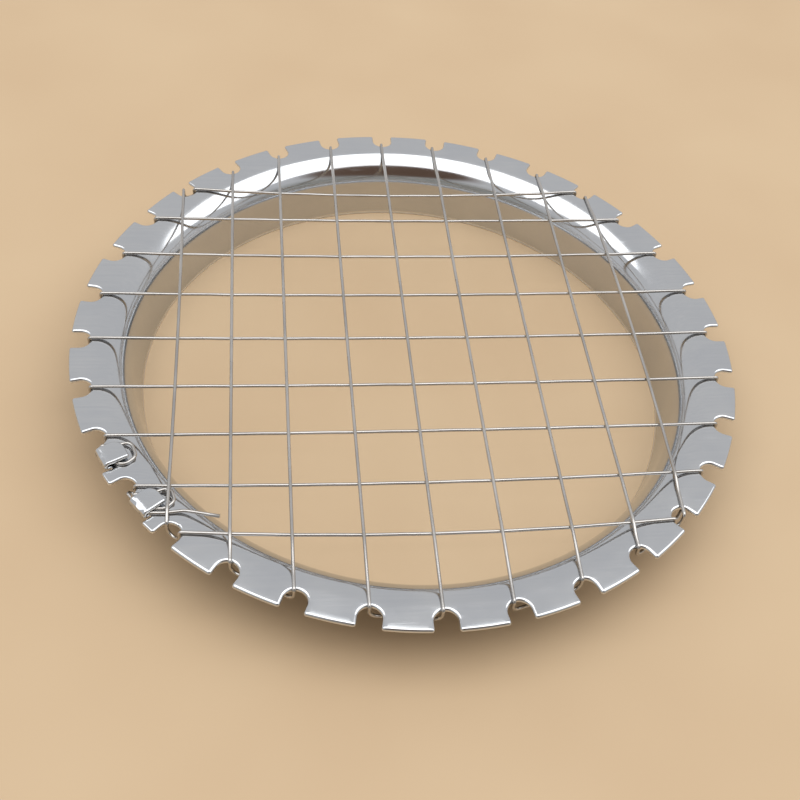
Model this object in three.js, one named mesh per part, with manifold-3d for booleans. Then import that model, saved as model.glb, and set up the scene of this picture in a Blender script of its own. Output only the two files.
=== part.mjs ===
// Flower frog: a low pressed ring of stainless sheet, strung across with one long stainless wire
// that makes a square grid for flower stems. Millimetres, +Z up, the skirt stands on z = 0.
// The wire is one piece on the real object. Here each straight run and each bend is a mesh of its
// own, so that every cell of the grid stays open.

import * as THREE from 'three';
import { mergeVertices } from 'three/addons/utils/BufferGeometryUtils.js';
import Module from 'manifold-3d';

const wasm = await Module();
wasm.setup();

// ---- driving dimensions -------------------------------------------------------------------

const SHEET = 0.5;                  // thickness of the pressed sheet
const OUTER_RADIUS = 52.5;          // outer edge of the flange
const HEIGHT = 10.3;                // top of the flange above the table
const SHOULDER_START = 48.7;        // radius where the flange begins to turn down
const SHOULDER_BEND = 5.4;          // radius of the rounded shoulder, on its upper side
const FOOT_RADIUS = 42.3;           // inside of the skirt at its bottom edge
const SHOULDER_STEPS = 7;
const RING_SEGMENTS = 128;

const NOTCH_COUNT = 32;
const NOTCH_WIDTH = 3.3;
const NOTCH_ROOT_RADIUS = 49.4;     // innermost point of each notch
const TOOTH_CORNER = 0.4;           // rounding of the teeth at the notch mouth
const CUT_MARGIN = 1.0;             // how far the cutting solids reach past what they cut

const TAB_WIDTH = 3.4;              // tongue folded back over the wire's end
const TAB_GAP = 0.7;                // height under the folded tongue
const TAB_TIP_RADIUS = 47.9;
const TAB_OVERHANG = 0.1;           // how far the fold stands out past the flange
const TAB_RELIEF = 0.35;            // slit on each side of the tongue
const TAB_ANGLES = [207.3, 218.6];  // the two tongues, in degrees round from +X

const WIRE = 0.5;                   // wire diameter
const WIRE_SIDES = 8;
const CLEARANCE = 0.05;             // between pieces that rest on each other
const JOINT_GAP = 0.1;              // between one length of the wire and the next
const BEND = 0.5;                   // centre-line radius of the bends at the notches
const LEAD = 2.0;                   // length of a bend's arm along its run

const RUNS = 9;                     // rows along X, and as many columns along Y
const DIP_RADIUS = 50.2;            // where a run goes down through its notch
const OUTER_RUN = 36.0;             // offset of the four outermost runs
const CORNER_DIP = 35.0;            // where an outermost run goes down in a corner notch
const FAR_CORNER_DIP = 36.4;        // the same for a column that passes round a row there

// ---- sizes that follow --------------------------------------------------------------------

const pitch = 360 / NOTCH_COUNT;
const middle = (RUNS + 1) / 2;
const rowHeight = HEIGHT + CLEARANCE + WIRE / 2;
const columnHeight = rowHeight + WIRE + CLEARANCE;
const bridgeHeight = HEIGHT - SHEET - CLEARANCE - WIRE / 2;

const ringSteel = new THREE.MeshStandardMaterial({
  name: 'polished stainless sheet',
  color: 0xb8bbc0,
  roughness: 0.2,
  metalness: 1.0,
});

const wireSteel = new THREE.MeshStandardMaterial({
  name: 'bright stainless wire',
  color: 0xc6c8cb,
  roughness: 0.25,
  metalness: 1.0,
});

// ---- solids that are cut or joined --------------------------------------------------------

function toSolid(geometry) {
  const bare = geometry.clone();
  bare.deleteAttribute('normal');
  bare.deleteAttribute('uv');
  const merged = mergeVertices(bare, 1e-5);
  return new wasm.Manifold(new wasm.Mesh({
    numProp: 3,
    vertProperties: new Float32Array(merged.attributes.position.array),
    triVerts: new Uint32Array(merged.index.array),
  }));
}

function toGeometry(solid) {
  const result = solid.getMesh();
  const geometry = new THREE.BufferGeometry();
  geometry.setAttribute('position', new THREE.BufferAttribute(result.vertProperties, 3));
  geometry.setIndex(new THREE.BufferAttribute(result.triVerts, 1));
  geometry.computeVertexNormals();
  return geometry;
}

function turned(geometry, degrees) {
  return geometry.rotateZ(THREE.MathUtils.degToRad(degrees));
}

// ---- the pressed ring ---------------------------------------------------------------------

// The sheet's section: flat flange, rounded shoulder, and a skirt that leans in to its foot.
function ringBlank() {
  const centre = new THREE.Vector2(SHOULDER_START, HEIGHT - SHOULDER_BEND);
  const footToCentre = new THREE.Vector2(SHOULDER_START - FOOT_RADIUS, centre.y);
  const slope = footToCentre.angle() + Math.asin(SHOULDER_BEND / footToCentre.length());
  const shoulder = (radius) => {
    const points = [];
    for (let k = 0; k <= SHOULDER_STEPS; k += 1) {
      const angle = Math.PI / 2 + (slope * k) / SHOULDER_STEPS;
      const offset = new THREE.Vector2(Math.cos(angle), Math.sin(angle));
      points.push(offset.multiplyScalar(radius).add(centre));
    }
    return points;
  };
  const outline = [
    new THREE.Vector2(OUTER_RADIUS, HEIGHT - SHEET),
    new THREE.Vector2(OUTER_RADIUS, HEIGHT),
    ...shoulder(SHOULDER_BEND),
    new THREE.Vector2(FOOT_RADIUS, 0),
    new THREE.Vector2(FOOT_RADIUS + SHEET / Math.sin(slope), 0),
    ...shoulder(SHOULDER_BEND - SHEET).reverse(),
    new THREE.Vector2(OUTER_RADIUS, HEIGHT - SHEET),
  ];
  return new THREE.LatheGeometry(outline, RING_SEGMENTS).rotateX(Math.PI / 2);
}

// One notch: parallel flanks, a half-round root, and mouth corners eased onto the teeth.
function notchCutter() {
  const flank = NOTCH_WIDTH / 2;
  const mouth = Math.sqrt(OUTER_RADIUS ** 2 - flank ** 2);
  const eased = flank + TOOTH_CORNER;
  const outline = new THREE.Shape();
  outline.moveTo(mouth + CUT_MARGIN, -eased);
  outline.lineTo(mouth + CUT_MARGIN, eased);
  outline.lineTo(mouth, eased);
  outline.absarc(mouth - TOOTH_CORNER, eased, TOOTH_CORNER, 0, -Math.PI / 2, true);
  outline.absarc(NOTCH_ROOT_RADIUS + flank, 0, flank, Math.PI / 2, -Math.PI / 2, false);
  outline.absarc(mouth - TOOTH_CORNER, -eased, TOOTH_CORNER, Math.PI / 2, 0, true);
  const depth = SHEET + 2 * CUT_MARGIN;
  return new THREE.ExtrudeGeometry(outline, { depth, bevelEnabled: false, curveSegments: 3 })
    .translate(0, 0, HEIGHT - SHEET - CUT_MARGIN);
}

// The tongue, seen from its side: out of the flange, once round a tight fold, and back inwards.
const foldCentreRadius = OUTER_RADIUS + TAB_OVERHANG - TAB_GAP / 2 - SHEET;
const tongueRootRadius = foldCentreRadius - 2 * TAB_RELIEF;

function tongue() {
  const inside = TAB_GAP / 2;
  const outside = inside + SHEET;
  const axis = HEIGHT + inside;
  const side = new THREE.Shape();
  side.moveTo(tongueRootRadius, HEIGHT - SHEET);
  side.absarc(foldCentreRadius, axis, outside, -Math.PI / 2, Math.PI / 2, false);
  side.lineTo(TAB_TIP_RADIUS, axis + outside);
  side.lineTo(TAB_TIP_RADIUS, axis + inside);
  side.absarc(foldCentreRadius, axis, inside, Math.PI / 2, -Math.PI / 2, true);
  side.lineTo(tongueRootRadius, HEIGHT);
  return new THREE.ExtrudeGeometry(side, { depth: TAB_WIDTH, bevelEnabled: false, curveSegments: 4 })
    .rotateX(Math.PI / 2)
    .translate(0, TAB_WIDTH / 2, 0);
}

// The slits and the clearance that free the tongue from the rest of its tooth.
function tonguePocket() {
  const inner = foldCentreRadius - TAB_RELIEF;
  const length = OUTER_RADIUS + CUT_MARGIN - inner;
  const depth = SHEET + 2 * CUT_MARGIN;
  return new THREE.BoxGeometry(length, TAB_WIDTH + 2 * TAB_RELIEF, depth)
    .translate(inner + length / 2, 0, HEIGHT - SHEET / 2);
}

function ring() {
  let solid = toSolid(ringBlank());
  for (let k = 0; k < NOTCH_COUNT; k += 1) {
    solid = solid.subtract(toSolid(turned(notchCutter(), k * pitch)));
  }
  for (const angle of TAB_ANGLES) {
    solid = solid.subtract(toSolid(turned(tonguePocket(), angle)));
    solid = solid.add(toSolid(turned(tongue(), angle)));
  }
  const mesh = new THREE.Mesh(toGeometry(solid), ringSteel);
  mesh.name = 'pressed_ring';
  return mesh;
}

// ---- the wire -----------------------------------------------------------------------------

// A path of straight legs whose corners are rounded to arcs. Each corner has its own radius.
class BentPath extends THREE.Curve {
  constructor(corners) {
    super();
    this.stations = [corners[0].at];
    for (let k = 1; k < corners.length - 1; k += 1) {
      this.stations.push(...BentPath.arc(corners[k - 1].at, corners[k], corners[k + 1].at));
    }
    this.stations.push(corners[corners.length - 1].at);
  }

  static arc(before, corner, after) {
    const arriving = corner.at.clone().sub(before).normalize();
    const leaving = after.clone().sub(corner.at).normalize();
    const sweep = arriving.angleTo(leaving);
    const start = corner.at.clone().addScaledVector(arriving, -corner.bend * Math.tan(sweep / 2));
    const toCentre = leaving.clone().sub(arriving).normalize();
    const centre = corner.at.clone().addScaledVector(toCentre, corner.bend / Math.cos(sweep / 2));
    const axis = arriving.clone().cross(leaving).normalize();
    const steps = Math.max(2, Math.round(sweep / 0.5));
    const points = [];
    for (let k = 0; k <= steps; k += 1) {
      const arm = start.clone().sub(centre).applyAxisAngle(axis, (sweep * k) / steps);
      points.push(arm.add(centre));
    }
    return points;
  }

  getPointAt(u, target = new THREE.Vector3()) {
    return target.copy(this.stations[Math.round(u * (this.stations.length - 1))]);
  }

  getTangentAt(u, target = new THREE.Vector3()) {
    const last = this.stations.length - 1;
    const k = Math.round(u * last);
    const before = this.stations[Math.max(k - 1, 0)];
    const after = this.stations[Math.min(k + 1, last)];
    return target.copy(after).sub(before).normalize();
  }
}

function bentWire(name, corners) {
  const path = new BentPath(corners);
  const section = new THREE.Shape();
  section.absarc(0, 0, WIRE / 2, 0, 2 * Math.PI, false);
  const geometry = new THREE.ExtrudeGeometry(section, {
    extrudePath: path,
    steps: path.stations.length - 1,
    curveSegments: WIRE_SIDES / 2,
    bevelEnabled: false,
  });
  const mesh = new THREE.Mesh(geometry, wireSteel);
  mesh.name = name;
  return mesh;
}

function straightWire(name, from, to) {
  const length = from.distanceTo(to);
  const geometry = new THREE.CylinderGeometry(WIRE / 2, WIRE / 2, length, WIRE_SIDES);
  const mesh = new THREE.Mesh(geometry, wireSteel);
  mesh.name = name;
  mesh.position.copy(from).add(to).multiplyScalar(0.5);
  mesh.quaternion.setFromUnitVectors(new THREE.Vector3(0, 1, 0), to.clone().sub(from).normalize());
  return mesh;
}

// Sideways place of a run: run 1 is the back row or the left column, run 9 the front or the right.
function runOffset(index) {
  const step = middle - index;
  const atCorner = Math.abs(step) === middle - 1;
  const angle = THREE.MathUtils.degToRad(step * pitch);
  return atCorner ? Math.sign(step) * OUTER_RUN : DIP_RADIUS * Math.sin(angle);
}

// How far along its own direction a run goes before it turns down, at a plain or a corner notch.
function dipReach(index, cornerReach) {
  const step = middle - index;
  const atCorner = Math.abs(step) === middle - 1;
  return atCorner ? cornerReach : DIP_RADIUS * Math.cos(THREE.MathUtils.degToRad(step * pitch));
}

// The end of a run: where it stands over its notch, which way it arrives, and its height.
function rowEnd(index, side) {
  const reach = dipReach(index, CORNER_DIP);
  return {
    dip: new THREE.Vector3(side * reach, runOffset(index), rowHeight),
    outwards: new THREE.Vector3(side, 0, 0),
  };
}

// A column that is bridged to its neighbour from a corner notch passes round the row there.
function columnEnd(index, side) {
  const backLeft = index === 1 && side > 0;
  const frontRight = index === RUNS && side < 0;
  const reach = dipReach(index, backLeft || frontRight ? FAR_CORNER_DIP : CORNER_DIP);
  return {
    dip: new THREE.Vector3(-runOffset(index), side * reach, columnHeight),
    outwards: new THREE.Vector3(0, side, 0),
  };
}

function armStart(end) {
  return end.dip.clone().addScaledVector(end.outwards, -LEAD);
}

function lowered(point, height) {
  return new THREE.Vector3(point.x, point.y, height);
}

// Down through one notch, under the tooth, and up through the next.
function bridge(name, from, to) {
  return bentWire(name, [
    { at: armStart(from) },
    { at: from.dip, bend: BEND },
    { at: lowered(from.dip, bridgeHeight), bend: BEND },
    { at: lowered(to.dip, bridgeHeight), bend: BEND },
    { at: to.dip, bend: BEND },
    { at: armStart(to) },
  ]);
}

function run(name, endOf, index) {
  const from = endOf(index, -1);
  const to = endOf(index, 1);
  const start = armStart(from).addScaledVector(from.outwards, -JOINT_GAP);
  const finish = armStart(to).addScaledVector(to.outwards, -JOINT_GAP);
  return straightWire(name, start, finish);
}

// ---- the wire's two ends, caught under the folded tongues ---------------------------------

// A place on a tooth: distance in from the flange's edge, and distance round from the tongue.
function besideTongue(angle, inwards, around) {
  const radius = OUTER_RADIUS - inwards;
  const at = THREE.MathUtils.degToRad(angle) + around / radius;
  return new THREE.Vector3(radius * Math.cos(at), radius * Math.sin(at), rowHeight);
}

// From its run's notch the wire comes up beside the tongue, loops round the tip and goes under.
function hookStart(index, angle) {
  const end = rowEnd(index, -1);
  const besideNotch = besideTongue(angle, OUTER_RADIUS - DIP_RADIUS, -3.1);
  return [
    { at: armStart(end) },
    { at: end.dip, bend: BEND },
    { at: lowered(end.dip, bridgeHeight), bend: BEND },
    { at: lowered(besideNotch, bridgeHeight), bend: BEND },
    { at: besideNotch, bend: BEND },
  ];
}

function plainHook() {
  const angle = TAB_ANGLES[0];
  return bentWire('wire_end_hook_7', [
    ...hookStart(7, angle),
    { at: besideTongue(angle, 6.3, -0.3), bend: 1.4 },
    { at: besideTongue(angle, 4.5, 3.3), bend: 1.5 },
    { at: besideTongue(angle, 1.7, 0.9) },
  ]);
}

// The second end turns once more under its tongue and leaves as a short free tail.
function tailedHook() {
  const angle = TAB_ANGLES[1];
  return bentWire('wire_end_hook_8', [
    ...hookStart(8, angle),
    { at: besideTongue(angle, 5.6, 0.35), bend: 1.2 },
    { at: besideTongue(angle, 5.2, 3.0), bend: 1.2 },
    { at: besideTongue(angle, 1.6, 0.6), bend: 0.45 },
    { at: besideTongue(angle, 1.4, 2.4), bend: 0.45 },
    { at: besideTongue(angle, 4.4, 3.5), bend: 2.5 },
    { at: new THREE.Vector3(-29.3, -33.8, rowHeight) },
  ]);
}

// ---- assembly -----------------------------------------------------------------------------

const frog = new THREE.Group();
frog.name = 'flower_frog';
frog.add(ring());

const wire = new THREE.Group();
wire.name = 'strung_wire';
for (let index = 1; index <= RUNS; index += 1) {
  wire.add(run(`wire_row_${index}`, rowEnd, index));
  wire.add(run(`wire_column_${index}`, columnEnd, index));
}

// Pairs of neighbouring runs, joined under the tooth between their notches.
for (const index of [1, 3, 5]) {
  wire.add(bridge(`wire_left_bridge_${index}`, rowEnd(index, -1), rowEnd(index + 1, -1)));
}
for (const index of [2, 4, 6, 8]) {
  wire.add(bridge(`wire_right_bridge_${index}`, rowEnd(index, 1), rowEnd(index + 1, 1)));
}
for (const index of [1, 3, 5, 7]) {
  wire.add(bridge(`wire_back_bridge_${index}`, columnEnd(index, 1), columnEnd(index + 1, 1)));
}
for (const index of [2, 4, 6, 8]) {
  wire.add(bridge(`wire_front_bridge_${index}`, columnEnd(index, -1), columnEnd(index + 1, -1)));
}

// At two corners a row turns into a column inside one shared notch.
wire.add(bridge('wire_corner_back_right', rowEnd(1, 1), columnEnd(RUNS, 1)));
wire.add(bridge('wire_corner_front_left', rowEnd(RUNS, -1), columnEnd(1, -1)));

wire.add(plainHook());
wire.add(tailedHook());
frog.add(wire);

export default frog;
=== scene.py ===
# A flower frog: a low pressed ring of stainless sheet, strung across with one long stainless wire.
# Metres, +Z up, the skirt of the ring stands on z = 0. One section for each piece, in the order
# in which the real one is put together: the ring is pressed, and then the wire is strung on it.

import math
import random

import bmesh
import bpy
from mathutils import Matrix, Vector
from mathutils.geometry import delaunay_2d_cdt


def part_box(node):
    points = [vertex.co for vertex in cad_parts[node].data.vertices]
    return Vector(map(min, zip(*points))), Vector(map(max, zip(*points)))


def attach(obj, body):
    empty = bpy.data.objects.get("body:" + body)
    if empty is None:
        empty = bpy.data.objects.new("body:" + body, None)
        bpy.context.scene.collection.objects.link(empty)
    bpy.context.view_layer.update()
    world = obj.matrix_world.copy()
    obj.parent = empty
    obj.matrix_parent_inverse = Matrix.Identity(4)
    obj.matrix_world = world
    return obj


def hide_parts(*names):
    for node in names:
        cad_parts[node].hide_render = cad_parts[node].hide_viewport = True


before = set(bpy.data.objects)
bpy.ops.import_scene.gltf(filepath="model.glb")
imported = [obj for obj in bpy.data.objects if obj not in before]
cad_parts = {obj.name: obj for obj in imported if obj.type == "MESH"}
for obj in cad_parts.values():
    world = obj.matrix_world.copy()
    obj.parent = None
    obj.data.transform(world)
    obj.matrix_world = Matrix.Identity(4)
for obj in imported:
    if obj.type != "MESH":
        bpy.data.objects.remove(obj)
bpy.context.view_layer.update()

MM = 0.001

# ---- the view ------------------------------------------------------------------------------
# The ring is seen from in front and a little to its left, from about half a forearm away, with
# the camera held slightly turned.

AIM = Vector((-2.61, -13.40, 10.31)) * MM       # from the ring's axis, on the table
VIEW_DISTANCE = 165.33 * MM
VIEW_ELEVATION = math.radians(49.29)
VIEW_AZIMUTH = math.radians(-11.0)
VIEW_ROLL = math.radians(7.43)
LENS = 49.1                                     # millimetres, on a 36 mm sensor

ring_low, ring_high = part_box("pressed_ring")
axis_point = Vector(((ring_low.x + ring_high.x) / 2, (ring_low.y + ring_high.y) / 2, ring_low.z))

backwards = Vector((
    math.sin(VIEW_AZIMUTH) * math.cos(VIEW_ELEVATION),
    -math.cos(VIEW_AZIMUTH) * math.cos(VIEW_ELEVATION),
    math.sin(VIEW_ELEVATION),
))
level = Vector((math.cos(VIEW_AZIMUTH), math.sin(VIEW_AZIMUTH), 0.0))
upwards = backwards.cross(level)
turn = Matrix((level, upwards, backwards)).transposed() @ Matrix.Rotation(VIEW_ROLL, 3, "Z")

camera = bpy.data.objects.new("camera", bpy.data.cameras.new("camera"))
camera.data.lens = LENS
camera.data.sensor_width = 36.0
camera.data.clip_start = 5 * MM
camera.data.clip_end = 20.0
camera.matrix_world = Matrix.Translation(axis_point + AIM + backwards * VIEW_DISTANCE) @ turn.to_4x4()
bpy.context.scene.collection.objects.link(camera)
bpy.context.scene.camera = camera

# ---- the pressed ring ----------------------------------------------------------------------
# One blank of half-millimetre stainless sheet, notched round its edge and drawn down into a
# flange, a rounded shoulder and a skirt. Shearing rolls the top edge of every cut over a little.
# Two teeth have a tongue, which is folded back to hold an end of the wire.

SHEET = 0.5
OUTER_RADIUS = 52.5
HEIGHT = 10.3                   # top of the flange
SHOULDER_START = 48.7           # radius where the flange begins to turn down
SHOULDER_BEND = 5.4             # on the upper side
SHOULDER_STEPS = 24
SKIRT_STEPS = 10
FOOT_RADIUS = 42.3              # inside of the skirt at its foot
NOTCHES = 32
NOTCH_FLANK = 1.65              # half the notch's width
NOTCH_ROOT = 49.4
TOOTH_CORNER = 0.42
SEAM_RADIUS = 48.85             # the teeth join the drawn part of the ring here
SEAM_STEPS = 12                 # across one tooth
ROLL_WIDTH = 0.40               # rolled-over edge, seen from above
ROLL_DEPTH = 0.38
BURR = 0.05                     # the much smaller rounding on the under side
FINE_ROLL = 0.65                 # the rolled edge round a tongue is this much of a plain one
BAND = (0.0, 0.03, 0.09, 0.2, 0.36, 0.6, 0.85, 1.0)    # rows along a cut, in rolled widths
GRAIN_OF_MESH = 0.62            # between the points that fill a tooth
CLEAR_OF_EDGE = 0.45            # how near its edge they come, in grains
TOOTH_TILT = 0.012              # how unevenly the press leaves the teeth, as a slope
TOOTH_TWIST = 0.35              # the part of it that is a twist
CREASE = math.radians(50)       # edges sharper than this stay crisp

TONGUES = {18: 207.3, 19: 218.6}    # tooth number and the tongue's middle, in degrees
TONGUE_HALF = 1.7
TONGUE_SLIT = 0.22
TONGUE_CORNER = 0.3             # of the tooth beside the slit, and of the tip beside it
SLIT_PAST_FOLD = 0.3            # how far a slit runs in past the start of the fold
TONGUE_CLIPPED = 1.5            # rounding of the corner of its tip that is nearest the notch
TONGUE_FREED = 8                # the point of the notch's root from which the tongue is cut free
TONGUE_GAP = 0.62               # under the folded tongue
TONGUE_TIP = 48.1
TONGUE_FOLD = 51.95             # the outside of the fold
FOLD_RADIUS = TONGUE_GAP / 2 + SHEET / 2
FOLD_START = TONGUE_FOLD - FOLD_RADIUS - SHEET / 2

pitch = math.tau / NOTCHES
mid_height = HEIGHT - SHEET / 2


def arc_points(centre, radius, first, last, steps):
    """Points along an arc, with the angles in degrees."""
    swept = [math.radians(first + (last - first) * k / steps) for k in range(steps + 1)]
    return [centre + radius * Vector((math.cos(a), math.sin(a))) for a in swept]


def turned(point, angle):
    return Matrix.Rotation(angle, 2) @ point


def notch_side():
    """Half a notch, from the middle of its root to its mouth, on the +Y side of the notch."""
    mouth = math.sqrt(OUTER_RADIUS ** 2 - NOTCH_FLANK ** 2)
    root = Vector((NOTCH_ROOT + NOTCH_FLANK, 0.0))
    corner = Vector((mouth - TOOTH_CORNER, NOTCH_FLANK + TOOTH_CORNER))
    return arc_points(root, NOTCH_FLANK, 180, 90, 12) + arc_points(corner, TOOTH_CORNER, -90, 0, 6)


def rim(first, last, spacing=0.5):
    """Points along the outer edge of a tooth between two angles, without its ends."""
    steps = max(2, round(abs(last - first) * OUTER_RADIUS / spacing))
    angles = [first + (last - first) * k / steps for k in range(1, steps)]
    return [turned(Vector((OUTER_RADIUS, 0.0)), a) for a in angles]


def tongue_outline(offset):
    """A tongue still lying flat: from the notch's side round its tip, and the slit that frees it."""
    slit_end = FOLD_START - SLIT_PAST_FOLD
    tip = FOLD_START + math.pi * FOLD_RADIUS + FOLD_START - TONGUE_TIP
    rim_at = math.sqrt(OUTER_RADIUS ** 2 - (TONGUE_HALF + TONGUE_SLIT) ** 2)
    outer, inner, corner = TONGUE_HALF + TONGUE_SLIT, TONGUE_HALF, TONGUE_CORNER
    half = TONGUE_SLIT / 2
    clipped = tip - TONGUE_CLIPPED
    side = [Vector((slit_end + (clipped - slit_end) * k / 14, -inner)) for k in range(14)]
    side += arc_points(Vector((clipped, TONGUE_CLIPPED - inner)), TONGUE_CLIPPED, -90, 0, 10)
    side += [Vector((tip, TONGUE_CLIPPED - inner + 0.4 * k)) for k in (1, 2, 3)]
    side += arc_points(Vector((tip - corner, inner - corner)), corner, 0, 90, 5)
    length = tip - corner - slit_end - half
    side += [Vector((slit_end + half + length * k / 16, inner)) for k in range(15, 0, -1)]
    side += arc_points(Vector((slit_end + half, outer - half)), half, 270, 90, 6)
    side += [Vector((slit_end + half + (rim_at - corner - slit_end - half) * k / 3, outer))
             for k in (1, 2)]
    side += arc_points(Vector((rim_at - corner, outer + corner)), corner, -90, 0, 4)
    return [turned(p, offset) for p in side]


def cut_edge(number):
    """The free edge of one tooth, from the root of one notch round to the root of the next."""
    near = [turned(p, -pitch / 2) for p in notch_side()]
    far = [Vector((p.x, -p.y)) for p in reversed(near)]
    start, stop = (math.atan2(p.y, p.x) for p in (near[-1], far[0]))
    if number not in TONGUES:
        return near + rim(start, stop) + far
    offset = math.radians(TONGUES[number]) - (number + 0.5) * pitch
    tongue = tongue_outline(offset)
    freed_from = near[TONGUE_FREED]
    lead = [freed_from.lerp(tongue[0], k / 4) for k in (1, 2, 3)]
    last = math.atan2(tongue[-1].y, tongue[-1].x)
    return near[:TONGUE_FREED + 1] + lead + tongue + rim(last, stop, 0.3) + far


def inward_normals(line):
    """For each point of the cut, the direction into the sheet, square to the cut."""
    normals = []
    for k, point in enumerate(line):
        along = line[min(k + 1, len(line) - 1)] - line[max(k - 1, 0)]
        normals.append(Vector((-along.y, along.x)).normalized())
    ends = [-turned(Vector((1.0, 0.0)), side * pitch / 2) for side in (-1, 1)]
    normals[0], normals[-1] = ends
    return normals


def tooth_pattern(number):
    """One tooth lying flat: points (x, y, distance from the cut) and faces, in its own frame."""
    line = cut_edge(number)
    normals = inward_normals(line)
    roll = ROLL_WIDTH * (FINE_ROLL if number in TONGUES else 1.0)
    points, faces = [], []
    for depth in BAND:
        shift = depth * roll
        points += [(*(p + n * shift), shift) for p, n in zip(line, normals)]
    count = len(line)
    for row in range(len(BAND) - 1):
        for k in range(count - 1):
            a = row * count + k
            faces.append((a, a + 1, a + count + 1, a + count))
    last = (len(BAND) - 1) * count
    loop = [Vector(points[last + k][:2]) for k in range(count)]
    step = pitch / SEAM_STEPS
    loop += [turned(Vector((SEAM_RADIUS, 0.0)), pitch / 2 - step * k) for k in range(SEAM_STEPS + 1)]
    fill = filling(loop)
    edge_ring = [(k, (k + 1) % len(loop)) for k in range(len(loop))]
    made = delaunay_2d_cdt(loop + fill, edge_ring, [list(range(len(loop)))], 1, 1e-6)
    base = len(points)
    points += [(p.x, p.y, BAND[-1] * roll) for p in made[0]]
    faces += [tuple(base + k for k in face) for face in made[2]]
    return points, faces


def inside(point, loop):
    """True if the point lies in the loop and clear of its edge."""
    within, clear = False, True
    for a, b in zip(loop, loop[1:] + loop[:1]):
        if (a.y > point.y) != (b.y > point.y):
            if point.x < a.x + (point.y - a.y) / (b.y - a.y) * (b.x - a.x):
                within = not within
        along = b - a
        t = max(0.0, min(1.0, (point - a).dot(along) / along.length_squared))
        clear = clear and (a + along * t - point).length > GRAIN_OF_MESH * CLEAR_OF_EDGE
    return within and clear


def filling(loop):
    """Points in a triangular grid that fill the loop."""
    xs, ys = [p.x for p in loop], [p.y for p in loop]
    rise = GRAIN_OF_MESH * math.sqrt(3) / 2
    found = []
    for row in range(int((max(xs) - min(xs)) / rise) + 1):
        x = min(xs) + row * rise
        y = min(ys) + (row % 2) * GRAIN_OF_MESH / 2
        while y < max(ys):
            if inside(Vector((x, y)), loop):
                found.append(Vector((x, y)))
            y += GRAIN_OF_MESH
    return found


def rolled(distance, width, depth):
    """How far the surface falls away near a cut: a quarter of an ellipse."""
    near = max(0.0, 1.0 - distance / width)
    return depth * (1.0 - math.sqrt(1.0 - near * near))


def along_tongue(x, y, number):
    """A point of a tooth as seen from its tongue: how far out, and how far to one side."""
    return turned(Vector((x, y)), (number + 0.5) * pitch - math.radians(TONGUES[number]))


def folded_over(x, y, number):
    """True on the part of a tongue that lies upside down once it is folded."""
    if number not in TONGUES:
        return False
    straight = along_tongue(x, y, number)
    return straight.x > FOLD_START + FOLD_RADIUS and abs(straight.y) < TONGUE_HALF + 1e-6


def pressed_place(point, number, lean, face):
    """A point of the flat tooth, on the top (1) or the under side (-1), in its pressed place."""
    x, y, distance = point
    fine = FINE_ROLL if number in TONGUES else 1.0
    if (face > 0) != folded_over(x, y, number):
        fall = rolled(distance, ROLL_WIDTH * fine, ROLL_DEPTH * fine)
    else:
        fall = rolled(distance, BURR, BURR)
    lift = face * (SHEET / 2 - fall)
    if number in TONGUES:
        straight = along_tongue(x, y, number)
        over = straight.x - FOLD_START
        if over > 0 and abs(straight.y) < TONGUE_HALF + 1e-6:
            bend = min(over / FOLD_RADIUS, math.pi)
            reach = FOLD_START + (FOLD_RADIUS - lift) * math.sin(bend)
            reach -= max(0.0, over - math.pi * FOLD_RADIUS)
            height = mid_height + FOLD_RADIUS - (FOLD_RADIUS - lift) * math.cos(bend)
            back = math.radians(TONGUES[number]) - (number + 0.5) * pitch
            place = turned(Vector((reach, straight.y)), back)
            return Vector((place.x, place.y, height))
    beyond = max(0.0, math.hypot(x, y) - NOTCH_ROOT)
    height = mid_height + beyond * (lean[0] + lean[1] * y) * min(1.0, beyond)
    return Vector((x, y, height + lift))


def drawn_stations():
    """The section of the drawn part from the seam to the foot: middle of the sheet and normal."""
    centre = Vector((SHOULDER_START, HEIGHT - SHOULDER_BEND))
    to_foot = Vector((SHOULDER_START - FOOT_RADIUS, centre.y))
    slope = math.atan2(to_foot.y, to_foot.x) + math.asin(SHOULDER_BEND / to_foot.length)
    up = Vector((0.0, 1.0))
    stations = [(Vector((SEAM_RADIUS, mid_height)), up)]
    for k in range(SHOULDER_STEPS + 1):
        angle = math.pi / 2 + slope * k / SHOULDER_STEPS
        normal = Vector((math.cos(angle), math.sin(angle)))
        stations.append((centre + normal * (SHOULDER_BEND - SHEET / 2), normal))
    bottom, normal = stations[-1]
    down = Vector((-normal.y, normal.x))
    length = (bottom.y - abs(normal.y) * SHEET / 2) / -down.y
    for k in range(1, SKIRT_STEPS + 1):
        stations.append((bottom + down * length * k / SKIRT_STEPS, normal))
    return stations


def on_ring(radius, height, angle):
    return Vector((radius * math.cos(angle), radius * math.sin(angle), height))


ring_mesh = bmesh.new()
# The "cut" value marks the edges that are painted almost white: partly the paler sheared face, partly
# a painted highlight.
cut_layer = ring_mesh.verts.layers.float.new("cut")


def add_vertex(place, cut=0.0):
    vertex = ring_mesh.verts.new(axis_point + place * MM)
    vertex[cut_layer] = cut
    return vertex


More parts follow.
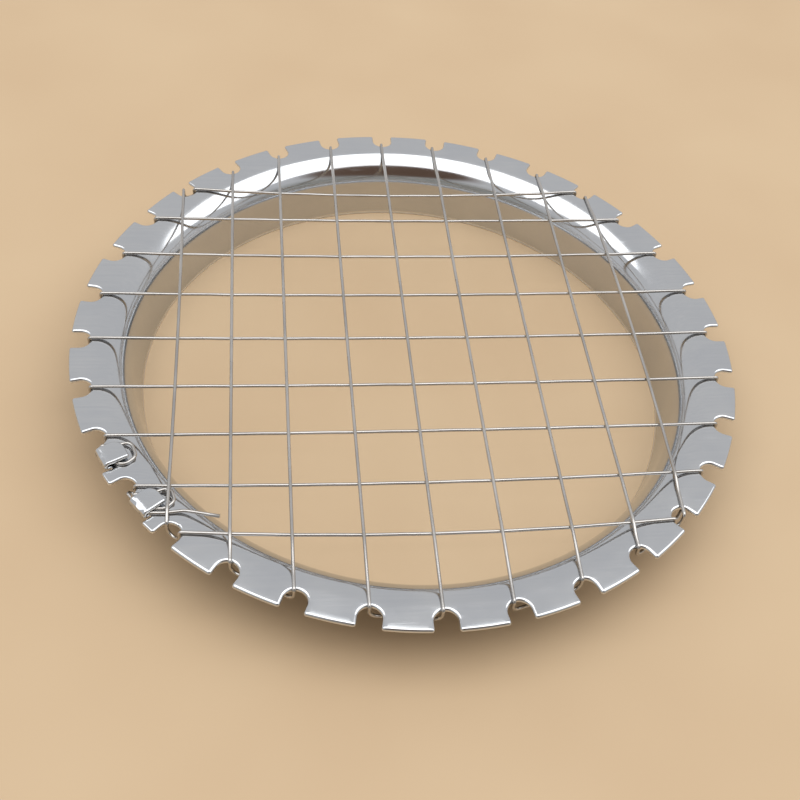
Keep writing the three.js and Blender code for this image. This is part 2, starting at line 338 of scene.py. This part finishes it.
press = random.Random(7)
patterns = {}
for tooth in range(NOTCHES):
    kind = tooth if tooth in TONGUES else -1
    if kind not in patterns:
        patterns[kind] = tooth_pattern(tooth)
    points, faces = patterns[kind]
    lean = (press.uniform(-1, 1) * TOOTH_TILT, press.uniform(-1, 1) * TOOTH_TILT * TOOTH_TWIST)
    spin = Matrix.Rotation((tooth + 0.5) * pitch, 3, "Z")
    sides = {}
    for face in (1, -1):
        sides[face] = [
            add_vertex(spin @ pressed_place(p, tooth, lean, face), 1.0 if p[2] < 1e-6 else 0.0)
            for p in points
        ]
    for corners in faces:
        ring_mesh.faces.new([sides[1][k] for k in corners])
        ring_mesh.faces.new([sides[-1][k] for k in reversed(corners)])
    for k in range(len(cut_edge(tooth)) - 1):
        upper, lower = sides[1], sides[-1]
        ring_mesh.faces.new((upper[k + 1], upper[k], lower[k], lower[k + 1]))

stations = drawn_stations()
columns = NOTCHES * SEAM_STEPS
for face in (1, -1):
    rows = []
    for middle, normal in stations:
        at = middle + normal * (face * SHEET / 2)
        rows.append([add_vertex(on_ring(at.x, at.y, math.tau * k / columns)) for k in range(columns)])
    for above, below in zip(rows, rows[1:]):
        for k in range(columns):
            corners = (above[k], above[(k + 1) % columns], below[(k + 1) % columns], below[k])
            ring_mesh.faces.new(corners if face < 0 else corners[::-1])
    if face > 0:
        inner_foot = rows[-1]
    else:
        outer_foot = rows[-1]
for k in range(columns):
    following = (k + 1) % columns
    ring_mesh.faces.new((inner_foot[k], inner_foot[following], outer_foot[following], outer_foot[k]))
# The foot of the skirt is painted almost white too: partly its sheared face, partly a painted
# highlight.
for vertex in inner_foot + outer_foot:
    vertex[cut_layer] = 1.0

bmesh.ops.remove_doubles(ring_mesh, verts=ring_mesh.verts, dist=0.002 * MM)
bmesh.ops.recalc_face_normals(ring_mesh, faces=ring_mesh.faces)
for face in ring_mesh.faces:
    face.smooth = True
for edge in ring_mesh.edges:
    if len(edge.link_faces) == 2 and edge.calc_face_angle(0.0) > CREASE:
        edge.smooth = False


def add_piece(name, mesh):
    """A mesh object of the scene, in its place in the frame."""
    data = bpy.data.meshes.new(name)
    mesh.to_mesh(data)
    mesh.free()
    piece = bpy.data.objects.new(name, data)
    bpy.context.scene.collection.objects.link(piece)
    return piece


ring = add_piece("notched_ring", ring_mesh)


def colour(code):
    """An sRGB hex colour as the linear colour that the shaders work in."""
    channels = [int(code[k:k + 2], 16) / 255 for k in (1, 3, 5)]
    linear = [c / 12.92 if c <= 0.04045 else ((c + 0.055) / 1.055) ** 2.4 for c in channels]
    return (*linear, 1.0)


def add_node(material, kind, settings=None, links=None):
    """A node with its settings (properties by name, inputs by name or number) and its links."""
    node = material.node_tree.nodes.new(kind)
    for key, value in (settings or {}).items():
        if isinstance(key, str) and hasattr(node, key):
            setattr(node, key, value)
        else:
            node.inputs[key].default_value = value
    for key, source in (links or {}).items():
        material.node_tree.links.new(source, node.inputs[key])
    return node


def start_material(name):
    """An empty node material and the coordinates of the piece, in metres."""
    material = bpy.data.materials.new(name)
    material.use_nodes = True
    material.node_tree.nodes.clear()
    place = add_node(material, "ShaderNodeTexCoord").outputs["Object"]
    return material, place


# Bright cold-rolled stainless, drawn and tumbled: a soft mirror with faint rolling grain across
# the whole blank, hairline scratches, and a coarser face wherever the sheet was sheared, painted
# almost white there: partly the paler sheared face, partly a painted highlight.
GRAIN_SPACING = 0.35 * MM       # real grain is finer than it can show, so it is drawn this coarse
GRAIN_LENGTH = 16 * MM
SCRATCH_SPACING = 1.1 * MM
SCRATCH_LENGTH = 9 * MM
CLOUD_SIZE = 7 * MM             # patches left by tumbling and handling
WAVE_SIZE = 6 * MM              # slow waves in the sheet, which make the reflections uneven

sheet_steel, place = start_material("bright rolled stainless sheet")


grain_laid = add_node(
    sheet_steel, "ShaderNodeMapping",
    {
        "Rotation": (0.0, 0.0, math.radians(12)),
        "Scale": (1 / GRAIN_LENGTH, 1 / GRAIN_SPACING, 1 / GRAIN_SPACING),
    },
    {"Vector": place},
)
grain = add_node(
    sheet_steel, "ShaderNodeTexNoise", {"Scale": 1.0, "Detail": 2.0, "Roughness": 0.55},
    {"Vector": grain_laid.outputs[0]},
).outputs[0]

# Scratches lie two ways, and only the strongest of each noise is one.
scratch_lines = []
for degrees, faintest in ((63, 0.67), (-38, 0.68)):
    laid = add_node(
        sheet_steel, "ShaderNodeMapping",
        {
            "Rotation": (0.0, 0.0, math.radians(degrees)),
            "Scale": (1 / SCRATCH_LENGTH, 1 / SCRATCH_SPACING, 1 / SCRATCH_SPACING),
        },
        {"Vector": place},
    )
    noise = add_node(
        sheet_steel, "ShaderNodeTexNoise", {"Scale": 1.0, "Detail": 3.0, "Roughness": 0.55},
        {"Vector": laid.outputs[0]},
    )
    line = add_node(
        sheet_steel, "ShaderNodeMapRange", {1: faintest, 2: 0.73, 3: 0.0, 4: 1.0},
        {0: noise.outputs[0]},
    )
    scratch_lines.append(line.outputs[0])
scratches = add_node(
    sheet_steel, "ShaderNodeMath", {"operation": "MAXIMUM"},
    {0: scratch_lines[0], 1: scratch_lines[1]},
).outputs[0]

cloud = add_node(
    sheet_steel, "ShaderNodeTexNoise", {"Scale": 1 / CLOUD_SIZE, "Detail": 3.0}, {"Vector": place},
).outputs[0]
wave = add_node(
    sheet_steel, "ShaderNodeTexNoise", {"Scale": 1 / WAVE_SIZE, "Detail": 1.0}, {"Vector": place},
).outputs[0]
cut = add_node(sheet_steel, "ShaderNodeAttribute", {"attribute_name": "cut"}).outputs["Fac"]

clouded = add_node(
    sheet_steel, "ShaderNodeMapRange", {1: 0.3, 2: 0.7, 3: 0.0, 4: 1.0}, {0: cloud},
).outputs[0]
grained = add_node(
    sheet_steel, "ShaderNodeMapRange", {1: 0.3, 2: 0.7, 3: 0.0, 4: 0.35}, {0: grain},
).outputs[0]
tone = add_node(
    sheet_steel, "ShaderNodeMix",
    {"data_type": "RGBA", 6: colour("#c4c7cb"), 7: colour("#cbcdcf")}, {0: clouded},
).outputs[2]
tone = add_node(
    sheet_steel, "ShaderNodeMix", {"data_type": "RGBA", 7: colour("#bcc0c6")}, {0: grained, 6: tone},
).outputs[2]
# Along the cuts the colour goes almost white: partly the paler sheared face, partly a painted
# highlight where the rolled edges catch the light.
tone = add_node(
    sheet_steel, "ShaderNodeMix", {"data_type": "RGBA", 7: colour("#f2f2f0")}, {0: cut, 6: tone},
).outputs[2]

# Roughness: the tumbled ground, and on it what a scratch and a sheared face add.
dull = add_node(
    sheet_steel, "ShaderNodeMapRange", {1: 0.3, 2: 0.75, 3: 0.1, 4: 0.16}, {0: cloud},
).outputs[0]
for source, added in ((scratches, 0.08), (cut, 0.3)):
    more = add_node(
        sheet_steel, "ShaderNodeMapRange", {1: 0.0, 2: 1.0, 3: 0.0, 4: added}, {0: source},
    )
    dull = add_node(
        sheet_steel, "ShaderNodeMath", {"operation": "ADD"}, {0: dull, 1: more.outputs[0]},
    ).outputs[0]

relief = add_node(
    sheet_steel, "ShaderNodeBump", {"Strength": 0.4, "Distance": 0.008 * MM}, {"Height": wave},
)
relief = add_node(
    sheet_steel, "ShaderNodeBump", {"Strength": 0.25, "Distance": 0.002 * MM},
    {"Height": grain, "Normal": relief.outputs[0]},
)
relief = add_node(
    sheet_steel, "ShaderNodeBump", {"Strength": 0.25, "Distance": 0.003 * MM, "invert": True},
    {"Height": scratches, "Normal": relief.outputs[0]},
)
steel = add_node(
    sheet_steel, "ShaderNodeBsdfPrincipled", {"Metallic": 1.0},
    {"Base Color": tone, "Roughness": dull, "Normal": relief.outputs[0]},
)
add_node(sheet_steel, "ShaderNodeOutputMaterial", None, {"Surface": steel.outputs[0]})

ring.data.materials.append(sheet_steel)
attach(ring, "root")
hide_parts("pressed_ring")

# ---- the strung wire -----------------------------------------------------------------------
# One length of bright half-millimetre stainless wire. It starts under the first tongue, makes
# the rows, turns the far corner, makes the columns over them, and ends under the second tongue.
# Between runs it dips through a notch, passes under a tooth and comes up through the next notch.

WIRE = 0.5
TOUCH = 0.01                    # air left where the wire rests on something
BEND = 0.42                     # centre-line radius of its bends at the notches
WIRE_SIDES = 14
RUN_STEP = 0.9                  # between the points along a run
PRESSED = 0.22                  # how far the columns press the middle of the rows down
CRIMP = 0.05                    # how far a wire gives between and at its crossings
PRESS_REACH = 46.0              # from the axis to where the columns no longer press the rows
CROSSES_WITHIN = 47.3           # crossings beyond this radius are in a corner notch
LANDS_AT = 48.4                 # radius where a run comes down on the flange
LANDS_AFTER = 1.2               # but no nearer than this to its last crossing

# Across the ring: where each run lies at its two ends, and how far its middle bows sideways.
ROWS = {                        # number: (y at the left, y at the right, bow towards the front)
    1: (36.0, 36.0, 1.5), 2: (28.2, 28.2, 0.5), 3: (19.3, 19.3, 0.8), 4: (9.8, 9.8, 0.6),
    5: (0.0, 0.0, 0.5), 6: (-10.0, -10.0, 0.3), 7: (-19.3, -19.3, 0.2), 8: (-28.3, -28.2, 0.7),
    9: (-36.2, -36.5, 1.3),
}
COLUMNS = {                     # number: (x at the front, x at the back, bow towards the right)
    1: (-36.4, -36.5, 0.3), 2: (-27.9, -27.9, 0.0), 3: (-19.6, -19.6, 0.0),
    4: (-9.9, -9.9, 0.0), 5: (-0.3, -0.3, 0.0), 6: (9.3, 9.3, 0.0), 7: (19.2, 19.2, 0.0),
    8: (28.2, 28.2, 0.0), 9: (36.15, 36.2, 0.8),
}
OVER_THE_HOOK = (-32.9, -30.6, -28.9)       # where the first column crosses a hook of the wire
PAST_THE_ROW = {(1, 1), (9, -1)}    # column ends that pass round a row's end in a corner notch

lying = HEIGHT + WIRE / 2 + TOUCH       # height of the wire where it lies on the flange
under = HEIGHT - SHEET - WIRE / 2 - TOUCH
SLACK = 1.2                     # how far below the teeth the wire hangs as it passes under them
SLACK_BEND = 1.1


def notch_middle(angle):
    return Vector((math.cos(angle), math.sin(angle))) * (NOTCH_ROOT + NOTCH_FLANK)


def dip_reach(offset, step, past_row=False):
    """How far along its run a wire goes before it dips, resting on the root of its notch."""
    notch = notch_middle(math.radians(step * 360 / NOTCHES))
    room = NOTCH_FLANK - WIRE / 2 - TOUCH
    aside = max(-0.98 * room, min(0.98 * room, offset - notch.y))
    reach = math.sqrt(room * room - aside * aside)
    return notch.x + (-0.1 if past_row else -reach)


def smooth(t):
    t = max(0.0, min(1.0, t))
    return t * t * (3 - 2 * t)


def through(stations, at):
    """A height that passes smoothly through (place, height) stations."""
    for (a, low), (b, high) in zip(stations, stations[1:]):
        if at <= b:
            return low + (high - low) * smooth((at - a) / (b - a))
    return stations[-1][1]


def row_rest(x, y):
    """How high a row lies where a column crosses it."""
    return lying - PRESSED * max(0.0, 1 - (x * x + y * y) / PRESS_REACH ** 2) - CRIMP


def bowed(first, last, bow, t):
    return first + (last - first) * t + bow * 4 * t * (1 - t)


def run_points(kind, number):
    """A run from its low end (left or front) to its high end: its points, without the dips."""
    low, high, bow = (ROWS if kind == "row" else COLUMNS)[number]
    step = (5 - number) if kind == "row" else (number - 5)
    past = [kind == "column" and (number, side) in PAST_THE_ROW for side in (-1, 1)]
    start = -dip_reach(low, step, past[0])
    stop = dip_reach(high, step, past[1])
    if kind == "row":
        bow = -bow
    crossings = []
    for other in range(1, 10):
        if kind == "row":
            at = (COLUMNS[other][0] + COLUMNS[other][1]) / 2
            y = bowed(low, high, bow, (at - start) / (stop - start))
            crossings.append((at, row_rest(at, y)))
        else:
            y = ROWS[other][0] - ROWS[other][2] * (1 - (low / 50.0) ** 2)
            crossings.append((y, row_rest(low, y) + WIRE + TOUCH + CRIMP))
    crossings.sort()
    inner = [c for c in crossings if math.hypot(c[0], low) < CROSSES_WITHIN]
    if (kind, number) == ("column", 1):
        inner = [(y, lying + WIRE + TOUCH + CRIMP) for y in OVER_THE_HOOK] + inner[1:]
    lands = math.sqrt(max(0.0, LANDS_AT ** 2 - low * low))
    stations = [(start, lying), (-max(lands, abs(inner[0][0]) + LANDS_AFTER), lying)]
    for k, (at, height) in enumerate(inner):
        stations.append((at, height))
        if k + 1 < len(inner):
            give = CRIMP if kind == "row" else -CRIMP
            between = (height + inner[k + 1][1]) / 2 + give
            stations.append(((at + inner[k + 1][0]) / 2, between))
    stations += [(max(lands, inner[-1][0] + LANDS_AFTER), lying), (stop, lying)]
    stations[0] = (min(stations[0][0], stations[1][0] - 0.01), lying)
    stations[-1] = (max(stations[-1][0], stations[-2][0] + 0.01), lying)
    steps = round((stop - start) / RUN_STEP)
    points = []
    for k in range(steps + 1):
        t = k / steps
        at = start + (stop - start) * t
        aside = bowed(low, high, bow, t)
        height = through(stations, at)
        points.append(Vector((at, aside, height) if kind == "row" else (aside, at, height)))
    return points


def lowered(point):
    return Vector((point.x, point.y, under - SLACK))


def run_corners(kind, number, forwards):
    """A run with a dip at each end, as (point, bend radius)."""
    points = run_points(kind, number)
    if not forwards:
        points.reverse()
    corners = [(lowered(points[0]), SLACK_BEND), (points[0], BEND)]
    corners += [(p, 0.0) for p in points[2:-2]]
    return corners + [(points[-1], BEND), (lowered(points[-1]), SLACK_BEND)]


plain_hook = [                  # (x, y, height) and bend radius, from the end under the tongue
    (Vector((-44.25, -24.2, lying)), 0.0),
    (Vector((-42.5, -24.55, lying)), 1.2),
    (Vector((-41.1, -23.2, lying)), 1.1),
    (Vector((-41.9, -20.7, lying)), 1.1),
    (Vector((-43.6, -21.0, lying)), 1.0),
    (Vector((-46.2, -21.25, lying)), BEND),
    (Vector((-46.2, -21.25, under)), BEND),
]
tailed_hook = [
    (Vector((-42.4, -28.3, under - 0.3)), BEND),
    (Vector((-41.2, -29.8, under - 0.3)), BEND),
    (Vector((-41.2, -29.8, lying)), BEND),
    (Vector((-38.6, -29.7, lying)), 1.0),
    (Vector((-36.2, -28.7, lying)), 1.1),
    (Vector((-35.4, -31.0, lying)), 1.1),
    (Vector((-36.7, -32.3, lying)), 1.0),
    (Vector((-39.0, -32.2, lying)), 0.33),
    (Vector((-39.0, -32.9, lying)), 0.33),
    (Vector((-36.9, -33.0, lying)), 1.5),
    (Vector((-34.0, -32.72, lying)), 3.0),
    (Vector((-29.3, -33.8, lying)), 0.0),
]

strand = list(plain_hook)
forwards = True
for number in (7, 6, 5, 4, 3, 2, 1):
    strand += run_corners("row", number, forwards)
    forwards = not forwards
forwards = False
for number in (9, 8, 7, 6, 5, 4, 3, 2, 1):
    strand += run_corners("column", number, forwards)
    forwards = not forwards
strand += run_corners("row", 9, True)
strand += run_corners("row", 8, False)
strand += tailed_hook


def eased_path(corners):
    """The corners joined by straight legs, with each bend turned into an arc."""
    path = [corners[0][0]]
    for (before, _), (corner, bend), (after, _) in zip(corners, corners[1:], corners[2:]):
        arriving = (corner - before).normalized()
        leaving = (after - corner).normalized()
        sweep = arriving.angle(leaving)
        if bend == 0.0 or sweep < 0.03:
            path.append(corner)
            continue
        room = 0.48 * min((corner - before).length, (after - corner).length)
        bend = min(bend, room / math.tan(sweep / 2))
        start = corner - arriving * bend * math.tan(sweep / 2)
        centre = corner + (leaving - arriving).normalized() * bend / math.cos(sweep / 2)
        around = arriving.cross(leaving).normalized()
        steps = max(3, round(sweep / 0.16))
        for k in range(steps + 1):
            arm = Matrix.Rotation(sweep * k / steps, 3, around) @ (start - centre)
            path.append(centre + arm)
    path.append(corners[-1][0])
    cleaned = [path[0]]
    for point in path[1:]:
        if (point - cleaned[-1]).length > 0.02:
            cleaned.append(point)
    return cleaned


def drawn_tube(path, radius, sides):
    """A round wire swept along a path, with its length and turn kept on its points."""
    mesh = bmesh.new()
    along_layer = mesh.verts.layers.float_vector.new("along")
    across = Vector((0.0, 0.0, 1.0))
    travelled = 0.0
    rings = []
    for k, point in enumerate(path):
        ahead = path[min(k + 1, len(path) - 1)] - path[max(k - 1, 0)]
        ahead.normalize()
        across = (across - ahead * across.dot(ahead)).normalized()
        third = ahead.cross(across)
        if k:
            travelled += (point - path[k - 1]).length
        circle = []
        for side in range(sides):
            angle = math.tau * side / sides
            out = across * math.cos(angle) + third * math.sin(angle)
            vertex = mesh.verts.new(axis_point + (point + out * radius) * MM)
            vertex[along_layer] = (travelled * MM, out.x * radius * MM, out.y * radius * MM)
            circle.append(vertex)
        rings.append(circle)
    for before, after in zip(rings, rings[1:]):
        for k in range(sides):
            following = (k + 1) % sides
            mesh.faces.new((before[k], before[following], after[following], after[k]))
    mesh.faces.new(rings[0][::-1])
    mesh.faces.new(rings[-1])
    for face in mesh.faces:
        face.smooth = len(face.verts) == 4
    return mesh


wire = add_piece("strung_wire", drawn_tube(eased_path(strand), WIRE / 2, WIRE_SIDES))

# Bright hard-drawn stainless wire: the die leaves fine lines along its length, and handling
# leaves slightly duller stretches.
DRAW_LINE = 0.09 * MM           # across the wire
DRAW_LENGTH = 6 * MM
DULL_STRETCH = 11 * MM

wire_steel, place = start_material("bright hard-drawn stainless wire")
along = add_node(wire_steel, "ShaderNodeAttribute", {"attribute_name": "along"}).outputs["Vector"]
drawn = add_node(
    wire_steel, "ShaderNodeMapping", {"Scale": (1 / DRAW_LENGTH, 1 / DRAW_LINE, 1 / DRAW_LINE)},
    {"Vector": along},
)
lines = add_node(
    wire_steel, "ShaderNodeTexNoise", {"Scale": 1.0, "Detail": 2.0, "Roughness": 0.55},
    {"Vector": drawn.outputs[0]},
).outputs[0]
stretch = add_node(
    wire_steel, "ShaderNodeTexNoise", {"Scale": 1 / DULL_STRETCH, "Detail": 2.0}, {"Vector": place},
).outputs[0]
handled = add_node(
    wire_steel, "ShaderNodeMapRange", {1: 0.35, 2: 0.65, 3: 0.0, 4: 1.0}, {0: stretch},
).outputs[0]
lined = add_node(
    wire_steel, "ShaderNodeMapRange", {1: 0.35, 2: 0.7, 3: 0.0, 4: 0.4}, {0: lines},
).outputs[0]
tone = add_node(
    wire_steel, "ShaderNodeMix",
    {"data_type": "RGBA", 6: colour("#b8b5b1"), 7: colour("#cac7c3")}, {0: handled},
).outputs[2]
tone = add_node(
    wire_steel, "ShaderNodeMix", {"data_type": "RGBA", 7: colour("#98989a")}, {0: lined, 6: tone},
).outputs[2]
dull = add_node(
    wire_steel, "ShaderNodeMapRange", {1: 0.3, 2: 0.7, 3: 0.2, 4: 0.32}, {0: stretch},
).outputs[0]
relief = add_node(
    wire_steel, "ShaderNodeBump", {"Strength": 0.35, "Distance": 0.004 * MM}, {"Height": lines},
)
steel = add_node(
    wire_steel, "ShaderNodeBsdfPrincipled", {"Metallic": 1.0},
    {"Base Color": tone, "Roughness": dull, "Normal": relief.outputs[0]},
)
add_node(wire_steel, "ShaderNodeOutputMaterial", None, {"Surface": steel.outputs[0]})

wire.data.materials.append(wire_steel)
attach(wire, "root")
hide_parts(*[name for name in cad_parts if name.startswith("wire_")])

# ---- the table and the light ---------------------------------------------------------------
# A plain pale table in a warm beige, a wide soft panel of light overhead, and an even grey room,
# dimmer low down in front, with a dark patch where the viewer stands.

TABLE_HALF = 1.5
FLECK_SIZE = 40 * MM

table_mesh = bmesh.new()
bmesh.ops.create_grid(table_mesh, x_segments=8, y_segments=8, size=TABLE_HALF)
table = add_piece("table", table_mesh)
table.location = (axis_point.x, axis_point.y, axis_point.z)
table_top, place = start_material("pale oiled table")
fleck = add_node(
    table_top, "ShaderNodeTexNoise", {"Scale": 1 / FLECK_SIZE, "Detail": 2.0}, {"Vector": place},
).outputs[0]
flecked = add_node(
    table_top, "ShaderNodeMapRange", {1: 0.35, 2: 0.65, 3: 0.0, 4: 1.0}, {0: fleck},
).outputs[0]
tone = add_node(
    table_top, "ShaderNodeMix",
    {"data_type": "RGBA", 6: colour("#c0a787"), 7: colour("#c4ac8c")}, {0: flecked},
).outputs[2]
surface = add_node(
    table_top, "ShaderNodeBsdfPrincipled", {"Roughness": 0.6, "Specular IOR Level": 0.25},
    {"Base Color": tone},
)
add_node(table_top, "ShaderNodeOutputMaterial", None, {"Surface": surface.outputs[0]})
table.data.materials.append(table_top)

SOFTBOX_HEIGHT = 2.5
SOFTBOX_WIDE = 6.0
SOFTBOX_DEEP = 2.36
SOFTBOX_RADIANCE = 1.9
SOFTBOX_OFFSET = Vector((0.6, -0.09, 0.0))

softbox = bpy.data.objects.new("softbox", bpy.data.lights.new("softbox", "AREA"))
softbox.data.shape = "RECTANGLE"
softbox.data.size = SOFTBOX_WIDE
softbox.data.size_y = SOFTBOX_DEEP
softbox.data.energy = SOFTBOX_RADIANCE * math.pi * SOFTBOX_WIDE * SOFTBOX_DEEP
softbox.location = axis_point + SOFTBOX_OFFSET + Vector((0.0, 0.0, SOFTBOX_HEIGHT))
bpy.context.scene.collection.objects.link(softbox)

VIEWER_FROM = Vector((0.08, -0.68, 0.72)).normalized()
VIEWER_EDGE = (math.radians(29), math.radians(23))      # of the dark patch, outer and inner

room = bpy.data.worlds.new("grey room")
bpy.context.scene.world = room
room.use_nodes = True
room.node_tree.nodes.clear()
looking = add_node(room, "ShaderNodeTexCoord").outputs["Generated"]
towards_viewer = add_node(
    room, "ShaderNodeVectorMath", {"operation": "DOT_PRODUCT", 1: tuple(VIEWER_FROM)}, {0: looking},
).outputs["Value"]
axes = add_node(room, "ShaderNodeSeparateXYZ", None, {0: looking}).outputs
in_front = add_node(
    room, "ShaderNodeMapRange", {1: -0.75, 2: -0.25, 3: 1.0, 4: 0.0}, {0: axes["Y"]},
).outputs[0]
near_floor = add_node(
    room, "ShaderNodeMapRange", {1: 0.38, 2: 0.55, 3: 1.0, 4: 0.0}, {0: axes["Z"]},
).outputs[0]
dimmer = add_node(
    room, "ShaderNodeMath", {"operation": "MULTIPLY"}, {0: in_front, 1: near_floor},
).outputs[0]
walls = add_node(
    room, "ShaderNodeMix",
    {"data_type": "RGBA", 6: colour("#dcdbdb"), 7: colour("#a4a49f")}, {0: dimmer},
).outputs[2]
viewed = add_node(
    room, "ShaderNodeMapRange",
    {1: math.cos(VIEWER_EDGE[0]), 2: math.cos(VIEWER_EDGE[1]), 3: 0.0, 4: 1.0}, {0: towards_viewer},
).outputs[0]
walls = add_node(
    room, "ShaderNodeMix", {"data_type": "RGBA", 7: colour("#6b5547")}, {0: viewed, 6: walls},
).outputs[2]
glow = add_node(room, "ShaderNodeBackground", {"Strength": 1.0}, {"Color": walls})
add_node(room, "ShaderNodeOutputWorld", None, {"Surface": glow.outputs[0]})

bpy.context.scene.view_settings.view_transform = "Standard"
